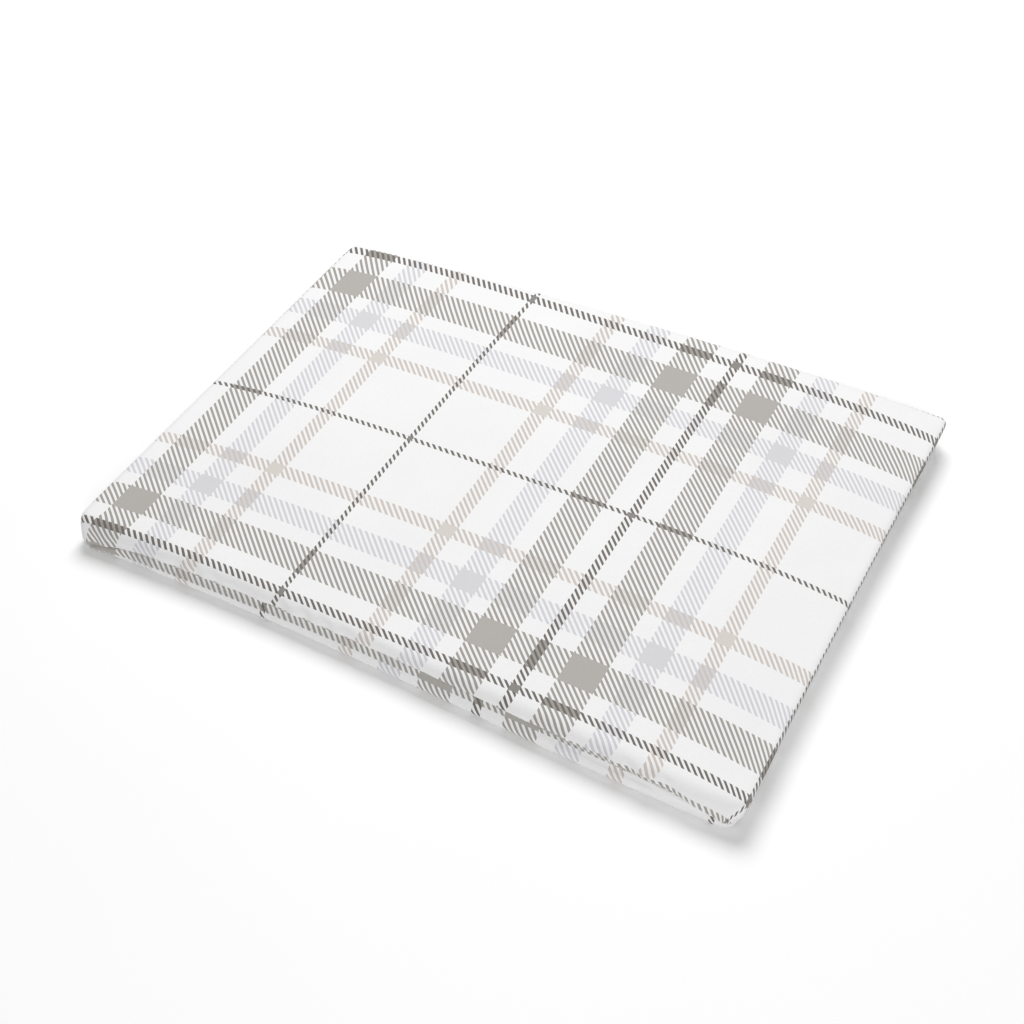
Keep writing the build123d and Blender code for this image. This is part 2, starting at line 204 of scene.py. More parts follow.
def cushion_form(side, face, rolls, step, rows=6, fan=5, stops=(), tuck=0.0, dip=0.0, zip_end=0.0):
    """Closed cushion: a grid above and below, and rings of points down the side wall.

    side and face set it in from the outside of the cover, and rolls is how far its upper
    and lower edges curve in. Each point also gets its place on the flat cloth of each panel."""
    upper_reach, lower_reach = rolls
    edge = height - edge_drop - face
    inner_x = half_length - side - upper_reach
    inner_y = half_width - side - upper_reach
    xs = spread((-inner_x, inner_x), step)
    ys = spread((-inner_y, *stops, inner_y), step)
    wide, deep = len(xs), len(ys)
    grid = np.array([(x, y) for x in xs for y in ys])
    crown = (1 - abs(grid[:, 0] / inner_x) ** 3) * (1 - abs(grid[:, 1] / inner_y) ** 3)

    # The rim: each ring has a point for every station, anticlockwise from the front left
    rim = []
    for corner in range(4):
        turns = [math.pi * (1 + corner / 2) + math.pi / 2 * k / fan for k in range(fan + 1)]
        i, j = [(0, 0), (wide - 1, 0), (wide - 1, deep - 1), (0, deep - 1)][corner]
        side_cells = [
            [(k, 0) for k in range(1, wide - 1)],
            [(wide - 1, k) for k in range(1, deep - 1)],
            [(k, deep - 1) for k in range(wide - 2, 0, -1)],
            [(0, k) for k in range(deep - 2, 0, -1)],
        ][corner]
        rim += [(i, j, angle) for angle in turns] + [(*at, turns[-1]) for at in side_cells]
    count = len(rim)
    cell = np.array([i * deep + j for i, j, angle in rim])
    base = grid[cell]
    out = np.array([(math.cos(angle), math.sin(angle)) for i, j, angle in rim])
    outside = base + out * upper_reach
    corner_gap = np.hypot(
        (half_length - side - abs(outside[:, 0])) / 0.060,
        (half_width - side - abs(outside[:, 1])) / 0.032,
    )
    seam = seam_height - dip * np.exp(-(corner_gap**2))
    front_share = np.clip(-out[:, 1], 0, 1) ** 2
    front_across = outside[:, 0] / half_length
    rise = 0.008 * np.clip((front_across + 1) / 1.3, 0, 1)
    seam += front_share * (rise - 0.005 * np.clip((front_across - 0.1) / 0.6, 0, 1))
    seam = np.maximum(seam, face + 0.004)
    upper_roll = soft_roll + (firm_roll - soft_roll) * abs(out[:, 0]) ** 2
    gate = (out[:, 0] < -0.999) * np.clip(
        (zip_end + 0.0015 - abs(bowed(*outside.T, seam)[:, 1])) / 0.003, 0, 1
    )

    # The wall's lines: how far inside the outline, how far off the seam, and the height
    lines = []
    for sign, reach, span in ((1, upper_reach, edge - seam), (-1, lower_reach, seam - face)):
        half = []
        roll = upper_roll if sign > 0 else firm_roll
        for k in range(1, rows + 1):
            angle = math.pi / 2 * k / (rows + 1)
            inside = reach * (1 - math.sin(angle) ** (2 / roll)) + np.zeros(count)
            half.append((inside, span * math.cos(angle) ** (2 / roll)))
        half += [(0.0, np.full(count, gap)) for gap in (2 * seam_fade, seam_fade, 0.0005)]
        lines += [(inside, gap, sign) for inside, gap in (half if sign > 0 else half[::-1])]
        if sign > 0:
            lines.append((0.0, np.zeros(count), 1))
    lines.append(((lower_reach + upper_reach) / 2, seam - face, -1))
    rings = []
    for inside, gap, sign in lines:
        upright = gate * np.clip(1 - (gap / 0.012) ** 2, 0, 1)
        inside = inside * (1 - upright) + tuck * np.exp(-((gap / seam_fade) ** 2))
        place = base + out * (upper_reach - inside)[:, None]
        rings.append(np.column_stack([place, seam + sign * gap]))
    plain = np.concatenate([
        np.column_stack([grid, edge + edge_drop * crown]),
        np.column_stack([grid, np.full(len(grid), face)]),
        *rings,
    ])
    first = 2 * len(grid)
    index = [first + k * count + np.arange(count) for k in range(len(rings))]
    seam_ring = rows + 3
    order = [cell] + index + [cell + len(grid)]

    # Cloth places: straight over the grid, then outwards by the length run down the wall
    flat_top = np.full((len(plain), 2), np.nan)
    flat_low = flat_top.copy()
    flat_top[: len(grid)] = bowed(*grid.T, edge)[:, :2]
    flat_low[len(grid) : first] = grid
    for flat, path, start in (
        (flat_top, order[: seam_ring + 2], bowed(*base.T, edge)[:, :2]),
        (flat_low, order[seam_ring + 1 :][::-1], base),
    ):
        run = np.zeros(count)
        for above, below in zip(path, path[1:]):
            run = run + np.linalg.norm(plain[below] - plain[above], axis=1)
            flat[below] = start + out * run[:, None]

    cells = [(i * deep + j, (i + 1) * deep + j) for i in range(wide - 1) for j in range(deep - 1)]
    faces = {
        "upper": [(a, b, b + 1, a + 1) for a, b in cells],
        "lower": [(a, a + 1, b + 1, b) for a, b in cells],
    }
    faces["lower"] = [tuple(p + len(grid) for p in face_points) for face_points in faces["lower"]]
    for k, (above, below) in enumerate(zip(order, order[1:])):
        ahead = np.roll(above, -1), np.roll(below, -1)
        for quad in zip(above, below, ahead[1], ahead[0]):
            half = "upper" if k <= seam_ring else "lower"
            faces[half].append(tuple(dict.fromkeys(int(p) for p in quad)))
    return {
        "points": bowed(*plain.T),
        "faces": faces,
        "flat": {"upper": flat_top, "lower": flat_low},
        "rings": index,
        "lines": lines,
        "seam_ring": seam_ring,
        "seam": seam,
        "gate": gate,
        "out": out,
        "grid_points": len(grid),
        "path": lambda depth, level: bowed(
            *(base + out * (upper_reach - depth)).T, np.maximum(seam + level, face + 0.0035)
        ),
    }


def mesh_piece(name, points, faces, finish, cloth=None):
    """A smooth-shaded object of the points that the faces use, with cloth places as a UV map."""
    used = sorted({p for face_points in faces for p in face_points})
    new_index = {p: k for k, p in enumerate(used)}
    mesh = bpy.data.meshes.new(name)
    mesh.from_pydata(
        [tuple(points[p]) for p in used], [], [[new_index[p] for p in f] for f in faces]
    )
    if cloth is not None:
        layer = mesh.uv_layers.new(name="cloth")
        for loop in mesh.loops:
            layer.data[loop.index].uv = cloth[used[loop.vertex_index]]
    mesh.shade_smooth()
    mesh.materials.append(finish)
    made = bpy.data.objects.new(name, mesh)
    scene.collection.objects.link(made)
    return made


# Polyurethane foam: pale cream, with open cells a millimetre or two across.
foam_finish, tree = new_finish("polyurethane_foam_cut")
place = node(tree, "ShaderNodeTexCoord")
cells = node(tree, "ShaderNodeTexVoronoi", {"Vector": place.outputs["Object"], "Scale": 650.0})
drift = node(tree, "ShaderNodeTexNoise", {"Vector": place.outputs["Object"], "Scale": 18.0})
shade = node(tree, "ShaderNodeMixRGB", {
    "Fac": drift.outputs[0], "Color1": linear("#ece2c4"), "Color2": linear("#f3ead0"),
})
pits = node(tree, "ShaderNodeBump", {
    "Height": cells.outputs["Distance"], "Strength": 0.6, "Distance": 0.0006,
})
surface = node(tree, "ShaderNodeBsdfPrincipled", {
    "Base Color": shade.outputs[0], "Roughness": 0.95, "Normal": pits.outputs[0],
})
node(tree, "ShaderNodeOutputMaterial", {"Surface": surface.outputs[0]})

foam_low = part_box("foam_core")[0]
foam_form = cushion_form(
    foam_low.x - cover_low.x, foam_low.z, (0.010, 0.006), filling_step, rows=4, fan=4
)
foam_slab = mesh_piece(
    "foam_slab",
    foam_form["points"],
    foam_form["faces"]["upper"] + foam_form["faces"]["lower"],
    foam_finish,
)
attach(foam_slab, "bed")
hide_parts("foam_core")


# Batting: two sheets of bonded polyester wadding, laid over and under the slab and lightly
# glued round the edge. It gives the bed its soft crown.
# Bonded polyester wadding: white fibres a couple of millimetres apart, in loose 25 mm clumps.
batting_finish, tree = new_finish("bonded_polyester_wadding")
place = node(tree, "ShaderNodeTexCoord")
fibres = node(tree, "ShaderNodeTexNoise", {
    "Vector": place.outputs["Object"], "Scale": 420.0, "Detail": 5.0, "Distortion": 2.5,
})
clumps = node(tree, "ShaderNodeTexNoise", {"Vector": place.outputs["Object"], "Scale": 40.0})
shade = node(tree, "ShaderNodeMixRGB", {
    "Fac": clumps.outputs[0], "Color1": linear("#f0f0ef"), "Color2": linear("#fbfbfb"),
})
fluff = node(tree, "ShaderNodeBump", {
    "Height": fibres.outputs[0], "Strength": 0.7, "Distance": 0.0015,
})
surface = node(tree, "ShaderNodeBsdfPrincipled", {
    "Base Color": shade.outputs[0], "Roughness": 1.0, "Normal": fluff.outputs[0],
    "Sheen Weight": 0.3,
})
node(tree, "ShaderNodeOutputMaterial", {"Surface": surface.outputs[0]})

batting_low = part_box("batting_bottom")[0]
batting_thickness = 0.008
batting_form = cushion_form(
    batting_low.x - cover_low.x, batting_low.z, (0.019, 0.013), filling_step, rows=4, fan=4
)
for half, part_name in (("upper", "batting_top"), ("lower", "batting_bottom")):
    sheet = mesh_piece(
        part_name + "_wadding", batting_form["points"], batting_form["faces"][half], batting_finish
    )
    loft = sheet.modifiers.new("loft", "SOLIDIFY")
    loft.thickness = batting_thickness
    loft.offset = -1
    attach(sheet, "bed")
    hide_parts(part_name)


# Inner case: two panels of plain white lining cotton, sewn shut round the filling, so that
# the printed cover can come off to be washed.
# Bleached lining cotton: off-white and matt, with a plain weave 0.9 mm to the thread, drawn
# about three times as coarse as it is so that it shows.
lining, tree = new_finish("bleached_lining_cotton")
place = node(tree, "ShaderNodeTexCoord")
thread_pitch = 0.0009
weft = node(tree, "ShaderNodeTexWave", {
    "Vector": place.outputs["Object"], "Scale": math.pi / 10 / thread_pitch, "Distortion": 0.4,
}, bands_direction="Y")
warp = node(tree, "ShaderNodeTexWave", {
    "Vector": place.outputs["Object"], "Scale": math.pi / 10 / thread_pitch, "Distortion": 0.4,
}, bands_direction="X")
weave = node(tree, "ShaderNodeMath", {
    0: weft.outputs["Fac"], 1: warp.outputs["Fac"],
}, operation="MULTIPLY")
shade = node(tree, "ShaderNodeMixRGB", {
    "Fac": weave.outputs[0], "Color1": linear("#e6e6e3"), "Color2": linear("#f2f2f0"),
})
ridge = node(tree, "ShaderNodeBump", {
    "Height": weave.outputs[0], "Strength": 0.3, "Distance": 0.0003,
})
surface = node(tree, "ShaderNodeBsdfPrincipled", {
    "Base Color": shade.outputs[0], "Roughness": 0.9, "Normal": ridge.outputs[0],
})
node(tree, "ShaderNodeOutputMaterial", {"Surface": surface.outputs[0]})

case_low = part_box("inner_case_bottom")[0]
case_fabric = 0.0005
case_form = cushion_form(
    case_low.x - cover_low.x, case_low.z, (0.021, 0.015), filling_step, rows=4, fan=4, tuck=0.0006
)
for half, part_name in (("upper", "inner_case_top"), ("lower", "inner_case_bottom")):
    panel = mesh_piece(part_name + "_panel", case_form["points"], case_form["faces"][half], lining)
    cloth_wall = panel.modifiers.new("cloth", "SOLIDIFY")
    cloth_wall.thickness = case_fabric
    cloth_wall.offset = -1
    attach(panel, "bed")
    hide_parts(part_name)


# Case seam: one row of white polyester lockstitch, 3 mm to the stitch, pulled a little
# into the lining at each hole.
def thread_tube(line, radius, sides=6):
    """Points and faces of a closed round thread along a short line of points."""
    line = [Vector(p) for p in line]
    points, faces = [], []
    for k, here in enumerate(line):
        ahead = (line[min(k + 1, len(line) - 1)] - line[max(k - 1, 0)]).normalized()
        helper = Vector((0, 0, 1)) if abs(ahead.z) < 0.9 else Vector((0, 1, 0))
        wide = ahead.cross(helper).normalized()
        tall = wide.cross(ahead)
        for turn in range(sides):
            angle = 2 * math.pi * turn / sides
            points.append(here + (wide * math.cos(angle) + tall * math.sin(angle)) * radius)
        if k:
            for turn in range(sides):
                a, b = (k - 1) * sides + turn, (k - 1) * sides + (turn + 1) % sides
                faces.append((a, a + sides, b + sides, b))
    last = (len(line) - 1) * sides
    faces.append(tuple(range(sides)))
    faces.append(tuple(last + turn for turn in reversed(range(sides))))
    return [tuple(p) for p in points], faces


def copies_along(name, path, copy_points, copy_faces, spacing, finish, closed=False):
    """Geometry Nodes: a small shape set at even spacing along a path, as one plain mesh.

    The shape's X runs along the path, its Y to the left of it and its Z up."""
    shape = mesh_piece(name + "_shape", copy_points, copy_faces, finish)
    edges = [(k, k + 1) for k in range(len(path) - 1)] + ([(len(path) - 1, 0)] if closed else [])
    path_mesh = bpy.data.meshes.new(name)
    path_mesh.from_pydata([tuple(p) for p in path], edges, [])
    carrier = bpy.data.objects.new(name + "_path", path_mesh)
    scene.collection.objects.link(carrier)
    tree = bpy.data.node_groups.new(name, "GeometryNodeTree")
    sockets = {}
    for label, kind in (
        ("Path", "NodeSocketGeometry"),
        ("Shape", "NodeSocketObject"),
        ("Spacing", "NodeSocketFloat"),
        ("Unevenness", "NodeSocketFloat"),
        ("Seed", "NodeSocketInt"),
        ("Finish", "NodeSocketMaterial"),
    ):
        sockets[label] = tree.interface.new_socket(label, in_out="INPUT", socket_type=kind)
    tree.interface.new_socket("Copies", in_out="OUTPUT", socket_type="NodeSocketGeometry")
    given = node(tree, "NodeGroupInput").outputs
    curve = node(tree, "GeometryNodeMeshToCurve", {"Mesh": given["Path"]})
    even = node(tree, "GeometryNodeResampleCurve", {
        "Curve": curve.outputs[0], "Length": given["Spacing"],
    }, mode="LENGTH")
    tangent = node(tree, "GeometryNodeInputTangent")
    along = node(tree, "FunctionNodeAlignRotationToVector", {
        "Vector": tangent.outputs[0],
    }, axis="X", pivot_axis="Z")
    most = node(tree, "ShaderNodeMath", {0: given["Unevenness"], 1: -1.0}, operation="MULTIPLY")
    sway = node(tree, "FunctionNodeRandomValue", {
        "Min": most.outputs[0], "Max": given["Unevenness"], "Seed": given["Seed"],
    }, data_type="FLOAT")
    lean = node(tree, "ShaderNodeCombineXYZ", {"Z": sway.outputs["Value"]})
    leant = node(tree, "FunctionNodeRotateRotation", {
        "Rotation": along.outputs[0], "Rotate By": lean.outputs[0],
    }, rotation_space="LOCAL")
    source = node(tree, "GeometryNodeObjectInfo", {"Object": given["Shape"]})
    placed = node(tree, "GeometryNodeInstanceOnPoints", {
        "Points": even.outputs[0], "Instance": source.outputs["Geometry"],
        "Rotation": leant.outputs[0],
    })
    real = node(tree, "GeometryNodeRealizeInstances", {"Geometry": placed.outputs[0]})
    dressed = node(tree, "GeometryNodeSetMaterial", {
        "Geometry": real.outputs[0], "Material": given["Finish"],
    })
    node(tree, "NodeGroupOutput", {"Copies": dressed.outputs[0]})
    setting = carrier.modifiers.new("copies", "NODES")
    setting.node_group = tree
    for label, value in (
        ("Shape", shape),
        ("Spacing", spacing),
        ("Unevenness", 0.05),
        ("Seed", 7),
        ("Finish", finish),
    ):
        setting[sockets[label].identifier] = value
    bpy.context.view_layer.update()
    evaluated = carrier.evaluated_get(bpy.context.evaluated_depsgraph_get())
    mesh = bpy.data.meshes.new_from_object(evaluated)
    mesh.name = name
    mesh.shade_smooth()
    made = bpy.data.objects.new(name, mesh)
    scene.collection.objects.link(made)
    bpy.data.objects.remove(carrier)
    bpy.data.objects.remove(shape)
    return made


# Spun polyester thread: soft white, two plies twisted at about a third of a millimetre.
thread_finish, tree = new_finish("spun_polyester_thread")
place = node(tree, "ShaderNodeTexCoord")
plies = node(tree, "ShaderNodeTexWave", {
    "Vector": place.outputs["Object"], "Scale": math.pi / 10 / 0.00035, "Distortion": 1.0,
}, bands_direction="DIAGONAL")
shade = node(tree, "ShaderNodeMixRGB", {
    "Fac": plies.outputs["Fac"], "Color1": linear("#dcdcda"), "Color2": linear("#eeeeec"),
})
twist = node(tree, "ShaderNodeBump", {
    "Height": plies.outputs["Fac"], "Strength": 0.5, "Distance": 0.0001,
})
surface = node(tree, "ShaderNodeBsdfPrincipled", {
    "Base Color": shade.outputs[0], "Roughness": 0.7, "Normal": twist.outputs[0],
    "Sheen Weight": 0.2,
})
node(tree, "ShaderNodeOutputMaterial", {"Surface": surface.outputs[0]})

stitch_pitch = 0.003
thread_radius = 0.00022
stitch = thread_tube(
    [(x * 0.00115, 0.00035 * x**4, 0) for x in (-1.0, -0.7, 0.0, 0.7, 1.0)], thread_radius
)
case_stitches = copies_along(
    "inner_case_stitches", case_form["path"](0.0001, 0.0), *stitch, stitch_pitch,
    thread_finish, closed=True,
)
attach(case_stitches, "bed")
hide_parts("inner_case_seam_stitching")


# Cover panels: cotton twill with a printed plaid, cut as two pieces that are sewn right
# sides together round the side wall. The print was pulled a little off square in sewing,
# the upper panel is eased over the filling, and the seam pulls down at the corners.
print_repeat = 0.705
hatch_pitch = print_repeat / 70
hatch_edge = 0.0003
# Printed cotton twill: matt, with stripes both ways broken up by the diagonal of the twill. Where
# a stripe crosses one of its own kind the two fill in to a solid colour.
plaid, tree = new_finish("plaid_printed_cotton_twill")
cloth_map = node(tree, "ShaderNodeUVMap", uv_map="cloth")
cloth_place = node(tree, "ShaderNodeSeparateXYZ", {0: cloth_map.outputs["UV"]})
white = "#ececec"
stripes = (
    (0.0000, "#706b67", "#8a8783", 1.00),
    (0.0100, white, white, 0.00),
    (0.3670, "#c9c0b9", "#d2ccc6", 0.25),
    (0.4330, white, white, 0.00),
    (0.5470, "#cdcdd2", "#d1d1d4", 0.50),
    (0.6560, white, white, 0.00),
    (0.7340, "#9f9b95", "#aeaba6", 0.75),
    (0.8790, white, white, 0.00),
    (0.9772, "#706b67", "#8a8783", 1.00),
)


def stripe_ramp(position, shade_column):
    """Stripe colours over half a repeat; the ramp's alpha says which stripe it is."""
    ramp = node(tree, "ShaderNodeValToRGB", {"Fac": position})
    ramp.color_ramp.interpolation = "CONSTANT"
    while len(ramp.color_ramp.elements) < len(stripes):
        ramp.color_ramp.elements.new(0.5)
    for element, stripe in zip(ramp.color_ramp.elements, stripes):
        element.position = stripe[0]
        element.color = linear(stripe[shade_column])[:3] + [stripe[3]]
    return ramp


half_repeat = []
for axis in ("X", "Y"):
    folded = node(tree, "ShaderNodeMath", {
        0: cloth_place.outputs[axis], 1: print_repeat / 2,
    }, operation="PINGPONG")
    half_repeat.append(node(tree, "ShaderNodeMath", {
        0: folded.outputs[0], 1: print_repeat / 2,
    }, operation="DIVIDE").outputs[0])
warp_stripe = stripe_ramp(half_repeat[0], 1)
weft_stripe = stripe_ramp(half_repeat[1], 1)
solid_stripe = stripe_ramp(half_repeat[0], 2)
diagonal = node(tree, "ShaderNodeMath", {
    0: cloth_place.outputs["X"], 1: cloth_place.outputs["Y"],
}, operation="ADD")
hatch = node(tree, "ShaderNodeMath", {
    0: diagonal.outputs[0], 1: hatch_pitch / 2,
}, operation="PINGPONG")
warp_on_top = node(tree, "ShaderNodeMapRange", {
    "Value": hatch.outputs[0],
    "From Min": hatch_pitch / 4 - hatch_edge, "From Max": hatch_pitch / 4 + hatch_edge,
})
twill = node(tree, "ShaderNodeMixRGB", {
    "Fac": warp_on_top.outputs[0], "Color1": weft_stripe.outputs[0], "Color2": warp_stripe.outputs[0],
})
same_stripe = node(tree, "ShaderNodeMath", {
    0: warp_stripe.outputs["Alpha"], 1: weft_stripe.outputs["Alpha"], 2: 0.1,
}, operation="COMPARE")
# Where a pale stripe crosses a dark one, the pale one prints at half strength
darker = node(tree, "ShaderNodeMath", {
    0: warp_stripe.outputs["Alpha"], 1: weft_stripe.outputs["Alpha"],
}, operation="MAXIMUM")
has_dark = node(tree, "ShaderNodeMath", {0: darker.outputs[0], 1: 0.6}, operation="GREATER_THAN")
both = node(tree, "ShaderNodeMath", {
    0: warp_stripe.outputs["Alpha"], 1: weft_stripe.outputs["Alpha"],
}, operation="MINIMUM")
crossing = node(tree, "ShaderNodeMath", {0: both.outputs[0], 1: 0.1}, operation="GREATER_THAN")
brightness = node(tree, "ShaderNodeRGBToBW", {"Color": twill.outputs[0]})
pale = node(tree, "ShaderNodeMath", {0: brightness.outputs[0], 1: 0.45}, operation="GREATER_THAN")
pale_crossing = node(tree, "ShaderNodeMath", {
    0: crossing.outputs[0], 1: pale.outputs[0],
}, operation="MULTIPLY")
beside_dark = node(tree, "ShaderNodeMath", {
    0: pale_crossing.outputs[0], 1: has_dark.outputs[0],
}, operation="MULTIPLY")
half_strength = node(tree, "ShaderNodeMath", {
    0: beside_dark.outputs[0], 1: 0.55,
}, operation="MULTIPLY")
overlaid = node(tree, "ShaderNodeMixRGB", {
    "Fac": half_strength.outputs[0], "Color1": twill.outputs[0], "Color2": linear(white),
})
printed = node(tree, "ShaderNodeMixRGB", {
    "Fac": same_stripe.outputs[0], "Color1": overlaid.outputs[0], "Color2": solid_stripe.outputs[0],
})
solid_place = node(tree, "ShaderNodeTexCoord")
slubs = node(tree, "ShaderNodeTexNoise", {
    "Vector": solid_place.outputs["Object"], "Scale": 240.0, "Detail": 3.0,
})
# The print is multiplied by a tone of 0.97 to 1.02 from two noises: fine slubs, the cloth's own
# unevenness, and broad patches about a tenth of a metre across, which are painted shade.
broad_painted_shade = node(tree, "ShaderNodeTexNoise", {"Vector": solid_place.outputs["Object"], "Scale": 9.0})
slubs_and_painted_shade = node(tree, "ShaderNodeMath", {
    0: slubs.outputs[0], 1: broad_painted_shade.outputs[0],
}, operation="ADD")
tone = node(tree, "ShaderNodeMapRange", {
    "Value": slubs_and_painted_shade.outputs[0], "From Min": 0.6, "From Max": 1.4, "To Min": 0.97, "To Max": 1.02,
})
toned = node(tree, "ShaderNodeMixRGB", {
    "Fac": 1.0, "Color1": printed.outputs[0], "Color2": tone.outputs[0],
}, blend_type="MULTIPLY")
# Threads lie about 0.5 mm apart; they are drawn at 1.5 mm, or they would not show.
weave_pitch = 0.0015
threads = []
for axis in ("X", "Y"):
    turn = node(tree, "ShaderNodeMath", {
        0: cloth_place.outputs[axis], 1: 2 * math.pi / weave_pitch,
    }, operation="MULTIPLY")
    threads.append(node(tree, "ShaderNodeMath", {0: turn.outputs[0]}, operation="SINE").outputs[0])
weave = node(tree, "ShaderNodeMath", {0: threads[0], 1: threads[1]}, operation="MULTIPLY")
relief = node(tree, "ShaderNodeMath", {
    0: slubs.outputs[0], 1: 2.0, 2: weave.outputs[0],
}, operation="MULTIPLY_ADD")
raised = node(tree, "ShaderNodeBump", {
    "Height": relief.outputs[0], "Strength": 0.12, "Distance": 0.0003,
})
surface = node(tree, "ShaderNodeBsdfPrincipled", {
    "Base Color": toned.outputs[0], "Roughness": 0.9, "Normal": raised.outputs[0],
    "Sheen Weight": 0.08, "Specular IOR Level": 0.3,
})
node(tree, "ShaderNodeOutputMaterial", {"Surface": surface.outputs[0]})

cover_fabric = 0.0008
bartack_low, bartack_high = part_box("zipper_bartacks")
zip_end = bartack_high.y
slot_half = 0.0052
slot_blend = 0.010
seam_tuck = 0.0022
seam_dip = 0.018
cloth_step = 0.009
zip_wall_ends = np.array([-half_width, half_width])
zip_wall_y = bowed(np.full(2, -half_length), zip_wall_ends, np.full(2, seam_height))[:, 1]
slot_ends = [end + near for end in (-zip_end, zip_end) for near in (-0.003, 0, 0.003)]
cover_form = cushion_form(
    0.0, 0.0, (0.024, 0.014), cloth_step, rows=8, fan=8,
    stops=tuple(np.interp(slot_ends, zip_wall_y, zip_wall_ends)),
    tuck=seam_tuck, dip=seam_dip, zip_end=zip_end,
)


gather_depth = {1: 0.0034, -1: 0.0014}
gather_length = 0.0068 * 2 * math.pi


def gathered(form):
    """The form's points with the upper panel eased into the seam in small uneven gathers."""
    points = form["points"].copy()
    for ring, (inside, gap, sign) in zip(form["rings"], form["lines"]):
        along = points[ring, 0] + 1.3 * points[ring, 1]
        wave = np.sin(2 * math.pi * along / gather_length + 1.9 * np.sin(along / 0.031) + 1.2 * sign)
        patch = 0.55 + 0.45 * np.sin(along / 0.047 + 2.3 * np.sin(along / 0.12))
        depth = gather_depth[sign] * (1 - form["gate"]) * wave * patch
        depth = depth * np.exp(-(((gap - 0.007) / 0.008) ** 2))
        points[ring, :2] += form["out"] * depth[:, None]
    return points


def settle(form, points, frames=20, pressure=0.8, most=0.004):
    """Cloth simulation of the closed cover over its filling, from a slightly larger cut."""
    faces = form["faces"]["upper"] + form["faces"]["lower"]
    dummy = mesh_piece("cover_cloth", points, faces, plaid)
    hold = np.full(len(points), 0.02)
    spare = np.full(len(points), 0.3)
    grid = form["grid_points"]
    hold[:grid] = 0.6
    hold[grid : 2 * grid] = 1.0
    for ring, (inside, gap, sign) in zip(form["rings"], form["lines"]):
        spare[ring] = 1.0
        pinned = (gap < 0.003) | ((form["gate"] > 0) & (gap < 0.014))
        pinned |= points[ring, 2] < 0.002
        hold[ring[pinned]] = 1.0
    for label, weights in (("hold", hold), ("spare", spare)):
        group = dummy.vertex_groups.new(name=label)
        for k, weight in enumerate(weights):
            group.add([k], float(weight), "REPLACE")
    cloth = dummy.modifiers.new("cloth", "CLOTH")
    settings = cloth.settings
    settings.quality = 5
    settings.mass = 0.2
    settings.tension_stiffness = 30
    settings.compression_stiffness = 30
    settings.shear_stiffness = 8
    settings.bending_stiffness = 0.6
    settings.use_pressure = True
    settings.uniform_pressure_force = pressure
    settings.effector_weights.gravity = 0
    settings.vertex_group_mass = "hold"
    settings.pin_stiffness = 1.0
    settings.vertex_group_shrink = "spare"
    settings.shrink_min = 0.0
    settings.shrink_max = -0.04
    cloth.point_cache.frame_start = 1
    cloth.point_cache.frame_end = frames
    for step in range(1, frames + 1):
        scene.frame_set(step)
    moved = dummy.evaluated_get(bpy.context.evaluated_depsgraph_get()).data
    settled = np.array([v.co for v in moved.vertices])
    bpy.data.objects.remove(dummy)
    scene.frame_set(1)
    change = settled - points
    far = np.linalg.norm(change, axis=1)[:, None]
    return points + change * np.minimum(1, most / np.maximum(far, 1e-9))


settled = gathered(cover_form)
settled = settle(cover_form, settled)


# Where the pattern cutter laid the middle of the panels on the printed cloth, and where the
# upper panel starts to turn down over the right edge.
cut_u = 0.1629
cut_v = 0.020
right_turn = 0.488


def print_upper(x, y):
    """Where a point of the upper panel falls on the printed cloth, which was sewn a little askew."""
    across, along = x / half_length, y / half_width
    drift_u = -0.0069 * across + 0.0176 * across**3 + 0.0058 * across**4 + 0.003 * across * along
    drift_u += (0.14 + 0.05 * (1 + along)) * np.clip(x - right_turn, 0, 0.03)
    drift_v = (
        0.004 + 0.0177 * across**4 - 0.0236 * along**4
        + 0.0133 * across * along**2 - 0.0075 * along**3
    )
    down_front = np.clip(-y - 0.372 - 0.028 * across - 0.004 * across**2, 0, None)
    return np.column_stack([x + cut_u + drift_u + 0.38 * down_front, y + cut_v + drift_v])


seam_places = cover_form["flat"]["lower"][cover_form["rings"][cover_form["seam_ring"]]]
front_seam = seam_places[cover_form["out"][:, 1] < -0.7]
front_seam = front_seam[np.argsort(front_seam[:, 0])]
front_seam_place = front_seam[:, 1].min()


def print_lower(x, y):
    """Where a point of the lower panel falls: cut at a slightly different place and scale."""
    across = x / half_length
    near_front = np.clip(1 + (front_seam_place - y) / 0.06, 0, 1)
    eased = near_front * (np.interp(x, *front_seam.T) - front_seam_place)
    return np.column_stack([
        x + cut_u + 0.042 + 0.029 * across,
        front_seam_place + eased - y - 0.2970 - 0.0045 * (across + 1)
        - 0.005 * np.clip((across - 0.2) / 0.5, 0, 1),
    ])


